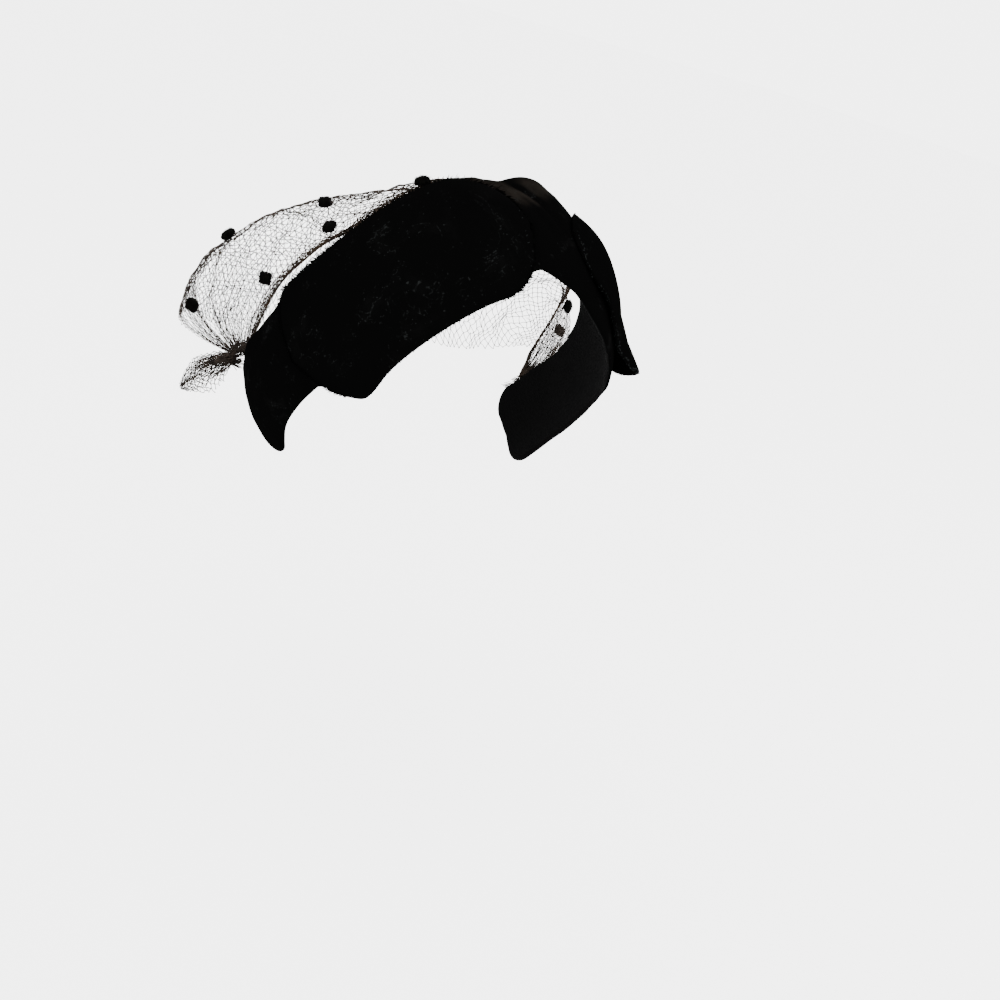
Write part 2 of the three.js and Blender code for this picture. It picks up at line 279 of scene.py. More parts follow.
@dataclass
class MeshParts:
    """Points and faces gathered for one mesh, with a material index for each face."""

    points: list[np.ndarray] = field(default_factory=list)
    faces: list[np.ndarray] = field(default_factory=list)
    finishes: list[np.ndarray] = field(default_factory=list)
    count: int = 0

    def add(self, points: np.ndarray, faces: np.ndarray) -> None:
        """Adds points and the faces that index them.

        Args:
            points: an array of places, N by 3.
            faces: rows of point numbers, counted from this batch's first point.
        """
        self.add_faces(faces + self.count)
        self.points.append(points.reshape(-1, 3))
        self.count += len(self.points[-1])

    def add_faces(self, faces: np.ndarray, finish: int = 0) -> None:
        """Adds faces whose rows number points of the whole mesh."""
        self.faces.append(faces)
        self.finishes.append(np.full(len(faces), finish))

    def piece(self, name: str, materials: list[bpy.types.Material]) -> bpy.types.Object:
        """Makes the mesh object and dresses it.

        Args:
            name: the object's name.
            materials: its materials, in the order of the faces' indices.

        Returns:
            The new object, smooth shaded, in the scene.
        """
        points = np.concatenate(self.points)
        rows = [tuple(int(i) for i in face) for block in self.faces for face in block]
        mesh = bpy.data.meshes.new(name)
        mesh.from_pydata([tuple(p) for p in points.tolist()], [], rows)
        for material in materials:
            mesh.materials.append(material)
        mesh.polygons.foreach_set("material_index", np.concatenate(self.finishes).astype(np.int32))
        mesh.polygons.foreach_set("use_smooth", np.ones(len(rows), bool))
        mesh.update()
        thing = bpy.data.objects.new(name, mesh)
        bpy.context.scene.collection.objects.link(thing)
        return thing


def add_tube(parts: MeshParts, path: np.ndarray, radii: np.ndarray) -> None:
    """Adds a thread as an open three-sided tube along a path.

    Args:
        parts: the mesh being gathered.
        path: points along the middle, N by 3.
        radii: the tube's radius at each point.
    """
    ring = ring_round(unit(np.gradient(path, axis=0)), TUBE_HINT)
    points = path[:, None] + ring * radii[:, None, None]
    i, j = np.meshgrid(np.arange(len(path) - 1), np.arange(THREAD_SIDES), indexing="ij")
    a, b = i * THREAD_SIDES + j, i * THREAD_SIDES + (j + 1) % THREAD_SIDES
    parts.add(points, np.stack([a, b, b + THREAD_SIDES, a + THREAD_SIDES], -1).reshape(-1, 4))


def rim_stations(steps: int, rim: float) -> np.ndarray:
    """Places from 0 to 1, even in the middle and crowded over the share `rim` at both ends."""
    start = rim * (1 - np.cos(np.linspace(0, math.pi / 2, 6)))[:-1]
    return np.concatenate([start, np.linspace(rim, 1 - rim, steps), 1 - start[::-1]])


def add_slab(
    parts: MeshParts, middle: np.ndarray, thickness: float | np.ndarray, rim: float, inside: int = 0
) -> None:
    """Adds a cloth slab with a rounded rim on both sides of a grid of points.

    Args:
        parts: the mesh being gathered.
        middle: the slab's middle face, U by V by 3, whose normal (u cross v) points outward.
        thickness: the slab's thickness, the same all over or at each point of the grid.
        rim: how far in from the border the rounding reaches.
        inside: index of the material of the inner face.
    """
    steps_u, steps_v = middle.shape[:2]
    normal = unit(np.cross(np.gradient(middle, axis=0), np.gradient(middle, axis=1)))
    edge = np.full((steps_u, steps_v), np.inf)
    for axis in (0, 1):
        lengths = np.linalg.norm(np.diff(middle, axis=axis), axis=2)
        travelled = np.cumsum(np.insert(lengths, 0, 0, axis=axis), axis=axis)
        whole = travelled.take([-1], axis=axis)
        edge = np.minimum(edge, np.minimum(travelled, whole - travelled))
    full = np.sqrt(np.clip(1 - (1 - np.clip(edge / rim, 0, 1)) ** 2, 0, 1))
    offset = normal * (full * thickness / 2)[..., None]
    outer, inner = middle + offset, middle - offset
    number = np.arange(steps_u * steps_v).reshape(steps_u, steps_v)
    inner_number = number.copy()
    hidden = np.zeros((steps_u, steps_v), bool)
    hidden[1:-1, 1:-1] = True
    inner_number[hidden] = steps_u * steps_v + np.arange(hidden.sum())
    start = parts.count
    corners = [(slice(0, -1), slice(0, -1)), (slice(1, None), slice(0, -1))]
    corners += [(slice(1, None), slice(1, None)), (slice(0, -1), slice(1, None))]
    outer_faces = np.stack([number[c] for c in corners], -1).reshape(-1, 4)
    inner_faces = np.stack([inner_number[c] for c in reversed(corners)], -1).reshape(-1, 4)
    parts.add(np.concatenate([outer.reshape(-1, 3), inner[hidden]]), outer_faces)
    parts.add_faces(inner_faces + start, inside)


def place(piece: bpy.types.Object, nodes: list[str]) -> bpy.types.Object:
    """Puts a piece on the hat's one body and hides the nodes it stands for.

    Args:
        piece: the finished object.
        nodes: the CAD nodes that it replaces, if any.

    Returns:
        The same piece.
    """
    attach(piece, BODY)
    if nodes:
        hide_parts(*nodes)
    LOG.info("%s: %d faces", piece.name, len(piece.data.polygons))
    return piece


# ---- The head form the hat is shaped on --------------------------------------


@dataclass(frozen=True)
class HeadForm:
    """The ellipsoid that the band follows, in its own frame tipped back with the band."""

    half_width: float = 78.5 * MM
    half_depth: float = 87.5 * MM
    half_height: float = 75.0 * MM
    tilt: float = 58.0
    seat_height: float = 84.1 * MM
    seat_forward: float = 9.0 * MM

    def on(self, round_deg: np.ndarray, lat_deg: np.ndarray, off: np.ndarray) -> np.ndarray:
        """Points on the form grown by `off`, in the form's own frame.

        Args:
            round_deg: angle round the head from the front centre.
            lat_deg: height angle.
            off: distance that the form is grown by.

        Returns:
            Points, with the same leading shape as the arguments.
        """
        a, b = np.radians(round_deg), np.radians(lat_deg)
        x = (self.half_width + off) * np.sin(a) * np.cos(b)
        y = -(self.half_depth + off) * np.cos(a) * np.cos(b)
        z = (self.half_height + off) * np.sin(b)
        return np.stack(np.broadcast_arrays(x, y, z), -1)

    def clear(self, points: np.ndarray, gap: float) -> np.ndarray:
        """Pushes points that fall inside the form out of it.

        Args:
            points: places in the form's own frame.
            gap: how far they have to clear the form.

        Returns:
            The places, moved outward where they had to be.
        """
        size = np.array([self.half_width, self.half_depth, self.half_height]) + gap
        inside = np.linalg.norm(points / size, axis=-1, keepdims=True)
        return np.where(inside < 1, points / np.maximum(inside, 1e-9), points)

    def worn(self, points: np.ndarray) -> np.ndarray:
        """Turns points from the form's own frame into the hat's frame as worn."""
        turn = np.array(Matrix.Rotation(-math.radians(self.tilt), 3, "X"))
        return points @ turn.T + np.array([0, self.seat_forward, -self.seat_height])


# ---- Finishes ----------------------------------------------------------------


@dataclass(frozen=True)
class VelvetFinish:
    """Black cut-pile velvet: the pile swallows nearly all light, and greys only in soft pressed
    patches, fine creases and specks, and a painted highlight on the faces that look up."""

    name: str
    deep: str
    pressed: str
    # colour of the painted highlight: the light from above painted onto the faces that look up
    painted_top_highlight: str
    sheen: float
    speck: str = "0f1010"
    sheen_tint: str = "b4b0aa"
    pile_grain: float = 0.9 * MM  # coarser than the real 0.3 mm so that it shows
    speck_grain: float = 1.5 * MM
    press_grain: float = 17 * MM
    crease_grain: float = 15 * MM

    def build(self) -> bpy.types.Material:
        """Makes the material.

        Returns:
            The velvet material.
        """
        material, tree = blank_material(self.name)
        coords = add_node(tree, "ShaderNodeTexCoord").outputs
        axes = add_node(tree, "ShaderNodeSeparateXYZ", inputs={"Vector": coords["Normal"]}).outputs
        noise = {}
        for grown, grain, detail, distortion in (
            ("press", self.press_grain, 5.0, 0.4),
            ("crease", self.crease_grain, 3.0, 0.9),
            ("pile", self.pile_grain, 3.0, 0.0),
            ("fleck", self.speck_grain, 2.0, 0.0),
        ):
            inputs = {"Vector": coords["Object"], "Scale": 1 / grain, "Detail": detail}
            inputs |= {"Roughness": 0.6, "Distortion": distortion}
            noise[grown] = add_node(tree, "ShaderNodeTexNoise", inputs=inputs).outputs["Fac"]
        signed = add_node(tree, "ShaderNodeMath", {"operation": "SUBTRACT"}, {0: noise["crease"], 1: 0.5})
        off_line = add_node(tree, "ShaderNodeMath", {"operation": "ABSOLUTE"}, {0: signed.outputs["Value"]})
        share = {}
        for part, source, low, high, at_low in (
            ("patch", noise["press"], 0.52, 0.72, 0.0),
            ("line", off_line.outputs["Value"], 0.0, 0.016, 1.0),
            ("broken line", noise["pile"], 0.45, 0.62, 0.0),
            ("creased place", noise["press"], 0.5, 0.62, 0.0),
            ("speck", noise["fleck"], 0.67, 0.73, 0.0),
            ("specked place", noise["press"], 0.42, 0.62, 0.0),
            # painted highlight: picks the faces that look up, to be coloured lighter as if lit from above
            ("facing up", axes["Z"], 0.93, 0.995, 0.0),
            ("top highlight place", noise["press"], 0.2, 0.7, 0.0),
        ):
            inputs = {"Value": source, "From Min": low, "From Max": high}
            inputs |= {"To Min": at_low, "To Max": 1 - at_low}
            smooth = {"interpolation_type": "SMOOTHSTEP"}
            share[part] = add_node(tree, "ShaderNodeMapRange", smooth, inputs).outputs["Result"]
        for part, one, other, operation in (
            ("line", "line", "broken line", "MULTIPLY"),
            ("line", "line", "creased place", "MULTIPLY"),
            ("speck", "speck", "specked place", "MULTIPLY"),
            ("bright", "line", "speck", "MAXIMUM"),
            ("painted_top_highlight", "facing up", "top highlight place", "MULTIPLY"),
        ):
            both = {0: share[one], 1: share[other]}
            share[part] = add_node(tree, "ShaderNodeMath", {"operation": operation}, both).outputs["Value"]
        colour = linear_colour(self.deep)
        # the painted top highlight is mixed into the colour here, after the pressed patches
        for part, hex_code in (("patch", self.pressed), ("painted_top_highlight", self.painted_top_highlight), ("bright", self.speck)):
            inputs = dict(zip(COLOUR_MIX, (share[part], colour, linear_colour(hex_code))))
            colour = add_node(tree, "ShaderNodeMix", {"data_type": "RGBA"}, inputs).outputs[2]
        inputs = {"Height": noise["pile"], "Strength": 0.6, "Distance": 0.4 * MM}
        fine = add_node(tree, "ShaderNodeBump", inputs=inputs)
        inputs = {"Height": noise["press"], "Strength": 0.3, "Distance": 1.6 * MM}
        inputs["Normal"] = fine.outputs["Normal"]
        broad = add_node(tree, "ShaderNodeBump", inputs=inputs)
        shader = add_node(
            tree,
            "ShaderNodeBsdfPrincipled",
            inputs={
                "Base Color": colour,
                "Roughness": 0.9,
                "IOR": 1.5,
                "Specular IOR Level": 0.0,
                "Sheen Weight": self.sheen,
                "Sheen Roughness": 0.3,
                "Sheen Tint": linear_colour(self.sheen_tint),
                "Normal": broad.outputs["Normal"],
            },
        )
        add_node(tree, "ShaderNodeOutputMaterial", inputs={"Surface": shader.outputs["BSDF"]})
        return material


@dataclass(frozen=True)
class BackingFinish:
    """Plain-woven black cotton backing: a dull even black with a fine crossed thread."""

    name: str = "plain_woven_cotton_black"
    colour: str = "030303"
    thread: float = 0.8 * MM  # drawn at twice the real 0.4 mm so that the weave shows

    def build(self) -> bpy.types.Material:
        """Makes the material.

        Returns:
            The backing material.
        """
        material, tree = blank_material(self.name)
        place_in = add_node(tree, "ShaderNodeTexCoord").outputs["Object"]
        waves = [
            add_node(
                tree,
                "ShaderNodeTexWave",
                {"wave_type": "BANDS", "bands_direction": direction},
                {"Vector": place_in, "Scale": WAVE_PERIOD / self.thread, "Distortion": 0.6, "Detail": 1.0},
            ).outputs["Fac"]
            for direction in ("X", "Z")
        ]
        weave = add_node(tree, "ShaderNodeMath", {"operation": "MULTIPLY"}, dict(enumerate(waves)))
        inputs = {"Height": weave.outputs["Value"], "Strength": 0.5, "Distance": 0.2 * MM}
        bump = add_node(tree, "ShaderNodeBump", inputs=inputs)
        shader = add_node(
            tree,
            "ShaderNodeBsdfPrincipled",
            inputs={
                "Base Color": linear_colour(self.colour),
                "Roughness": 0.9,
                "IOR": 1.5,
                "Specular IOR Level": 0.01,
                "Normal": bump.outputs["Normal"],
            },
        )
        add_node(tree, "ShaderNodeOutputMaterial", inputs={"Surface": shader.outputs["BSDF"]})
        return material


@dataclass(frozen=True)
class ThreadFinish:
    """Twisted fibre: a soft dull colour, uneven from place to place; dyed, or pale as a painted highlight."""

    name: str
    dark: str
    pale: str
    grain: float
    roughness: float = 0.75
    sheen: float = 0.1

    def build(self) -> bpy.types.Material:
        """Makes the material.

        Returns:
            The thread material.
        """
        material, tree = blank_material(self.name)
        place_in = add_node(tree, "ShaderNodeTexCoord").outputs["Object"]
        inputs = {"Vector": place_in, "Scale": 1 / self.grain, "Detail": 3.0, "Roughness": 0.6}
        noise = add_node(tree, "ShaderNodeTexNoise", inputs=inputs)
        dye = add_node(tree, "ShaderNodeValToRGB", inputs={"Fac": noise.outputs["Fac"]})
        dye.color_ramp.elements[0].position = 0.35
        dye.color_ramp.elements[0].color = linear_colour(self.dark)
        dye.color_ramp.elements[1].position = 0.7
        dye.color_ramp.elements[1].color = linear_colour(self.pale)
        shader = add_node(
            tree,
            "ShaderNodeBsdfPrincipled",
            inputs={
                "Base Color": dye.outputs["Color"],
                "Roughness": self.roughness,
                "IOR": 1.5,
                "Specular IOR Level": 0.01,
                "Sheen Weight": self.sheen,
                "Sheen Roughness": 0.4,
            },
        )
        add_node(tree, "ShaderNodeOutputMaterial", inputs={"Surface": shader.outputs["BSDF"]})
        return material


@dataclass
class Wardrobe:
    """All the hat's materials, made once."""

    band_velvet: bpy.types.Material
    wing_velvet: bpy.types.Material
    pile_tips: bpy.types.Material
    backing: bpy.types.Material
    net: bpy.types.Material
    hem_net: bpy.types.Material
    chenille: bpy.types.Material

    @classmethod
    def made(cls) -> Wardrobe:
        """Makes every finish of the hat.

        Returns:
            The wardrobe.
        """
        return cls(
            # the band's painted top highlight is brown and lighter than the wings', which is barely above
            # black
            band_velvet=VelvetFinish("cut_pile_velvet_band", "020202", "050505", "0e0c0a", 0.002).build(),
            wing_velvet=VelvetFinish("cut_pile_velvet_wings", "020202", "030303", "030303", 0.001).build(),
            # pale pile tips: a painted highlight of the cut edge catching the light, not a dye
            pile_tips=ThreadFinish("cut_pile_tips", "040505", "1c1e1e", 0.8 * MM, sheen=0.005).build(),
            backing=BackingFinish().build(),
            net=ThreadFinish("dyed_veiling_thread", "110e0c", "28221d", 6 * MM, sheen=0.01).build(),
            hem_net=ThreadFinish(
                "dyed_veiling_thread_turned_in", "130d09", "2a2017", 5 * MM, sheen=0.01
            ).build(),
            chenille=ThreadFinish("cut_chenille_tuft", "010101", "040403", 1.5 * MM, 0.95, 0.002).build(),
        )


# ---- Band --------------------------------------------------------------------


@dataclass
class Bandeau:
    """The open band of velvet over its stiffening, worn over the crown."""

    form: HeadForm
    table: Table = Table(
        ("round", "low", "high", "puff", "stand"),
        (
            (0, -11, 36, 1.5, 2.6),
            (14, -15.8, 35, 1.5, 2.5),
            (26, -21.8, 29.5, 1.0, 2.0),
            (45, -25.5, 21.5, 0.6, 1.0),
            (60, -26, 17, 0.5, 1.0),
            (75, -22, 13, 0.5, 2.0),
            (90, -20, 12.5, 1.0, 3.0),
            (106, -18.5, 15, 2.5, 5.5),
            (122, -20.5, 15, 2.0, 6.0),
        ),
    )
    end: float = 122.0
    corner: Corner = Corner(7.0, 9.0)
    wall: float = 2.6 * MM
    swell_round: float = 19.0
    swell_half: float = 17.0
    swell_height: float = 7.6
    cut: tuple[float, float] = (52 * MM, 380 * MM)

    def low(self, round_deg: np.ndarray) -> np.ndarray:
        """Latitude of the band's lower rim."""
        return self.table.at("low", np.abs(round_deg))

    def high(self, round_deg: np.ndarray) -> np.ndarray:
        """Latitude of the band's upper edge."""
        return self.table.at("high", np.abs(round_deg))

    def offset(self, round_deg: np.ndarray, lat_deg: np.ndarray) -> np.ndarray:
        """Distance of the band's outer face from the form.

        Args:
            round_deg: angle round the head.
            lat_deg: latitude.

        Returns:
            The offset, fullest at mid width and at the upper edge.
        """
        low, high = self.low(round_deg), self.high(round_deg)
        t = np.clip((lat_deg - low) / (high - low), 0, 1)
        puff = self.table.at("puff", np.abs(round_deg))
        stand = self.table.at("stand", np.abs(round_deg))
        near = np.clip(1 - np.abs(round_deg - self.swell_round) / self.swell_half, 0, 1)
        swell = self.swell_height * near * near * (3 - 2 * near)
        return (puff * np.sin(math.pi * t) + (stand + swell) * t * t) * MM

    def crease(self, round_deg: np.ndarray, lat_deg: np.ndarray) -> np.ndarray:
        """Soft creases of the bare velvet between the wings and puckers along the band's edges.

        Args:
            round_deg: angle round the head.
            lat_deg: latitude.

        Returns:
            How far the velvet stands out, less than nothing in a crease.
        """
        low, high = self.low(round_deg), self.high(round_deg)
        t = (lat_deg - low) / (high - low)
        bare = np.exp(-(((round_deg - 9) / 7.5) ** 2))
        slant = round_deg + 0.30 * lat_deg
        folds = 0
        for depth, middle, half, starts, full, fades, gone in (
            (1.1, 14.5, 1.6, 0.25, 0.5, 0.8, 1.0),
            (0.7, 8.5, 2.0, 0.1, 0.4, 0.6, 0.95),
        ):
            length = smooth_step(t, starts, full) * (1 - smooth_step(t, fades, gone))
            folds = folds - depth * bare * np.exp(-(((slant - middle) / half) ** 2)) * length
        pucker = np.sin(np.radians(round_deg) * 34 + 1.3 * np.sin(np.radians(round_deg) * 9))
        edge = smooth_step(t, 0.75, 1.0) + 0.6 * (1 - smooth_step(t, 0.0, 0.2))
        return (folds + 0.16 * pucker * edge) * MM

    def build(self, wardrobe: Wardrobe) -> bpy.types.Object:
        """Makes the band.

        Args:
            wardrobe: the hat's materials.

        Returns:
            The band's object.
        """
        u = rim_stations(230, 0.004)
        v = rim_stations(44, 0.026)
        round_deg = self.end * (2 * u - 1)
        bite = self.corner.bite(self.end - np.abs(round_deg))
        low, high = self.low(round_deg) + bite, self.high(round_deg) - bite
        lat = low[:, None] + (high - low)[:, None] * v[None]
        round_grid = np.broadcast_to(round_deg[:, None], lat.shape)
        off = self.offset(round_grid, lat) - self.wall / 2 + self.crease(round_grid, lat)
        middle = self.form.worn(self.form.on(round_grid, lat, off))
        middle += 0.12 * MM * SoftNoise(14 * MM, 5).at(middle)[..., None]
        parts = MeshParts()
        add_slab(parts, middle, self.wall, rim=self.wall / 2, inside=1)
        band = parts.piece("velvet_band", [wardrobe.band_velvet, wardrobe.backing])
        return place(band, ["bandeau_band"])


# ---- Wings -------------------------------------------------------------------


@dataclass(frozen=True)
class Edge:
    """A cut edge of velvet, point by point, with the share of the pile's length that stands there."""

    points: np.ndarray
    outward: np.ndarray
    normal: np.ndarray
    stand: np.ndarray


@dataclass
class VelvetWing:
    """One of the two wide wings of velvet laid on the band."""

    form: HeadForm
    band: Bandeau
    side: Side
    front: float
    rear: float
    front_low: Corner
    front_high: Corner
    rear_low: Corner
    rear_high: Corner
    table: Table
    seed: int
    cut: tuple[float, float]
    settle: float
    pile: float
    cloth: float = 2.2 * MM
    gap: float = 0.8 * MM
    settle_reach: float = 14.0
    swell: float = 0.35 * MM
    edge_points: int = 900
    edge_step: float = 0.02

    @property
    def name(self) -> str:
        """The wing's CAD node."""
        return f"wing_{self.side.name.lower()}"

    def middle(self, u: np.ndarray, v: np.ndarray) -> np.ndarray:
        """Points on the wing's middle face.

        Args:
            u: share of the wing's length from its front.
            v: share of its width from its lower edge.

        Returns:
            Points as worn.
        """
        length = self.rear - self.front
        from_front, from_rear = u * length, (1 - u) * length
        low = self.table.at("low", u) + self.front_low.bite(from_front) + self.rear_low.bite(from_rear)
        high = self.table.at("high", u) - self.front_high.bite(from_front) - self.rear_high.bite(from_rear)
        lat = low + (high - low) * v
        round_deg = self.side.value * (self.front + from_front)
        belly = self.table.at("belly", u) * np.sin(math.pi * v)
        lip = self.table.at("lip", u) * (1 - v) ** 2
        lift = (self.gap + self.cloth / 2) * self.settled(u) + (belly + lip) * MM
        off = self.band.offset(round_deg, lat) + lift + self.drape(u, v)
        return self.form.worn(self.form.on(round_deg, lat, off))

    def settled(self, u: np.ndarray) -> np.ndarray:
        """How much of the cloth's thickness is left along the wing, where its front is pressed flat."""
        return 1 - self.settle * (1 - smooth_step(u * (self.rear - self.front), 0.0, self.settle_reach))

    def drape(self, u: np.ndarray, v: np.ndarray) -> np.ndarray:
        """Slow swells of the soft cloth, strongest away from where it is sewn down.

        Args:
            u: share of the wing's length from its front.
            v: share of its width from its lower edge.

        Returns:
            How far the cloth stands out.
        """
        rng = np.random.default_rng(self.seed)
        loose = np.sin(math.pi * np.clip(v, 0, 1)) ** 0.7
        waves = ((1.0, 1.5, 0.45), (0.6, 2.6, -0.8), (0.35, 4.7, 1.1))
        phase = rng.uniform(0, 2 * math.pi, len(waves))
        swell = sum(
            height * np.sin(2 * math.pi * (along * u + across * v) + start)
            for (height, along, across), start in zip(waves, phase)
        )
        return self.swell * loose * swell

    def build(self, wardrobe: Wardrobe) -> bpy.types.Object:
        """Makes the wing.

        Args:
            wardrobe: the hat's materials.

        Returns:
            The wing's object.
        """
        u, v = np.meshgrid(rim_stations(120, 0.012), rim_stations(60, 0.018), indexing="ij")
        if self.side is Side.RIGHT:
            u = u[::-1]
        middle = self.middle(u, v)
        thickness = self.cloth * self.settled(u)
        parts = MeshParts()
        add_slab(parts, middle, thickness, rim=self.cloth / 2)
        wing = parts.piece(f"velvet_{self.name}", [wardrobe.wing_velvet])
        return place(wing, [self.name])

    def border(self, front_stand: float) -> Edge:
        """Follows the wing's cut edges: lower front corner, front, upper edge, rear and tip.

        Args:
            front_stand: how much of the pile's full length stands along the front edge.

        Returns:
            The edge.
        """
        rows = (
            (0.00, 0.18, 0.0, 0.2),
            (0.06, 0.06, 0.0, front_stand),
            (0.12, 0.0, 0.0, front_stand),
            (0.28, 0.0, 1.0, front_stand),
            (0.32, 0.04, 1.0, 1.3 * front_stand),
            (0.42, 0.25, 1.0, 1.2),
            (0.72, 1.0, 1.0, 0.9),
            (0.90, 1.0, 0.0, 1.2),
            (0.95, 0.95, 0.0, 1.2),
            (1.00, 0.88, 0.0, 0.3),
        )
        return self.edge(rows)

    def lower_edge(self) -> Edge:
        """Follows the wing's front and lower edge, where pale bristles paint the highlight of the cut pile.
        """
        rows = ((0.0, 0.02, 0.8, 0.5), (0.25, 0.04, 0.05, 1.0), (0.3, 0.08, 0.0, 1.0), (1.0, 0.8, 0.0, 0.7))
        return self.edge(rows)

    def edge(self, route: tuple[tuple[float, ...], ...]) -> Edge:
        """Follows a route along the wing's edges.

        Args:
            route: rows of how far along the route, the share of the wing's length, the share of
                its width, and the share of the pile's full length that stands there.

        Returns:
            The edge.
        """
        rows = np.array(route)
        t = np.linspace(0, 1, self.edge_points)
        u, v, stand = (np.interp(t, rows[:, 0], rows[:, k]) for k in (1, 2, 3))
        points = self.middle(u, v)
        inner = self.middle(*(0.5 + (share - 0.5) * (1 - self.edge_step) for share in (u, v)))
        outward = unit(points - inner)
        normal = unit(np.cross(outward, unit(np.gradient(points, axis=0))))
        facing = np.sign((normal * (points - self.form.worn(np.zeros(3)))).sum(-1, keepdims=True))
        return Edge(points, outward, normal * facing, stand)


@dataclass
class PileFringe:
    """Bristles of pile that stand out along a cut edge of velvet."""

    length: float = 2.5 * MM
    root: float = 0.16 * MM
    per_mm: float = 15.0
    seed: int = 3
    buried: float = 0.5 * MM
    rise: float = 0.55
    lean: float = 0.30

    def build(self, name: str, edge: Edge, spread: float, material: bpy.types.Material) -> bpy.types.Object:
        """Makes the fringe.

        Args:
            name: the piece's name.
            edge: the cut edge that it stands on.
            spread: how far across the edge's thickness the roots stand.
            material: what the pile is made of.

        Returns:
            The fringe's object.
        """
        rng = np.random.default_rng(self.seed)
        steps = np.linalg.norm(np.diff(edge.points, axis=0), axis=1)
        travelled = np.insert(np.cumsum(steps), 0, 0)
        count = int(travelled[-1] / MM * self.per_mm)
        at = rng.uniform(0, travelled[-1], count)
        root, out, up = (
            np.stack([np.interp(at, travelled, along[:, k]) for k in range(3)], -1)
            for along in (edge.points, edge.outward, edge.normal)
        )
        out, up = unit(out), unit(up)
        along = np.cross(out, up)
        clump = np.sin(at / MM * 4.1 + 2 * np.sin(at / MM * 0.9)) * 0.25
        lean = rng.normal(0, self.lean, count) + clump
        rise = rng.normal(self.rise, 0.35, count)
        across = rng.uniform(-1, 1, count)
        start = root + up * (across * spread)[:, None] - out * self.buried
        heading = unit(out + along * lean[:, None] + up * (rise + 0.4 * across)[:, None])
        tuft = 0.75 + 0.35 * np.sin(at / MM * 2.9 + 1.5 * np.sin(at / MM * 0.7))
        length = self.length * rng.uniform(0.4, 1.1, count) * tuft * np.interp(at, travelled, edge.stand)
        ring = ring_round(heading, HAIR_HINT)
        bend = unit(heading + along * rng.normal(0, 0.25, count)[:, None])
        knee = start + heading * ((length + self.buried) * 0.6)[:, None]
        tip = knee + bend * (length * 0.5)[:, None]
        levels = [start[:, None] + ring * self.root, knee[:, None] + ring * self.root * 0.75, tip[:, None]]
        block = np.concatenate(levels, axis=1)
        base = np.arange(count)[:, None, None] * block.shape[1]
        turns = [(j, (j + 1) % THREAD_SIDES) for j in range(THREAD_SIDES)]
        walls = np.array([[a, b, THREAD_SIDES + b, THREAD_SIDES + a] for a, b in turns])
        points = np.array([[THREAD_SIDES + a, THREAD_SIDES + b, 2 * THREAD_SIDES] for a, b in turns])
        parts = MeshParts()
        parts.add(block, (base + walls).reshape(-1, 4))
        parts.add_faces((base + points).reshape(-1, 3))
        return place(parts.piece(name, [material]), [])


# ---- Veiling -----------------------------------------------------------------


